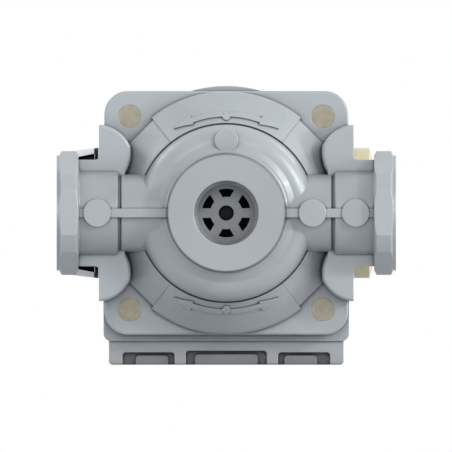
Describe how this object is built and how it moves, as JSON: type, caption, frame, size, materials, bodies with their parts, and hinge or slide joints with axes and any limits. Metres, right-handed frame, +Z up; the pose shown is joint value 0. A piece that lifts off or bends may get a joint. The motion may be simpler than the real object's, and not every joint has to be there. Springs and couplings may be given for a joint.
{
  "type": "quick exhaust valve",
  "caption": "Die-cast pneumatic quick exhaust valve: in-line threaded ports with hexagon ends, round exhaust port with a spoked seat, flanged rear housing on a flat foot.",
  "frame": {"origin": "centre of the foot's sole", "axes": "+X along the port axis towards the outlet port, -Y out of the exhaust port, +Z up"},
  "size_m": [0.0878, 0.068, 0.0722],
  "materials": {
    "cast_aluminium": "satin die-cast",
    "turned_aluminium": "machined",
    "spring_steel": "blackened",
    "passivated_steel": "yellow passivated",
    "brass": "turned",
    "black_rubber": "matt",
    "gasket_sheet": "matt",
    "dark_acetal": "matt",
    "pale_plastic": "satin",
    "filter_black": "porous"
  },
  "bodies": {
    "valve": {"front_body": "cast_aluminium", "rear_housing": "cast_aluminium", "body_gasket": "gasket_sheet", "exhaust_seat": "turned_aluminium", "exhaust_seat_ring": "black_rubber", "seat_plate": "turned_aluminium", "seat_plate_ring": "black_rubber", "seat_plate_clip": "spring_steel", "guide_bush": "dark_acetal", "cover_screws": "passivated_steel", "screw_washers": "passivated_steel", "gallery_plug": "brass", "plug_ring": "black_rubber", "vent_adapter": "dark_acetal", "vent_guard": "pale_plastic", "vent_filter": "filter_black", "vent_ring": "black_rubber"},
    "poppet": {"poppet_stem": "dark_acetal", "poppet_seal": "black_rubber", "poppet_washer": "spring_steel", "poppet_nut": "passivated_steel"}
  },
  "joints": [
    {"name": "poppet_slide", "type": "slide", "parent": "valve", "child": "poppet", "axis": [0, -1, 0], "range_m": [0, 0.003]}
  ]
}
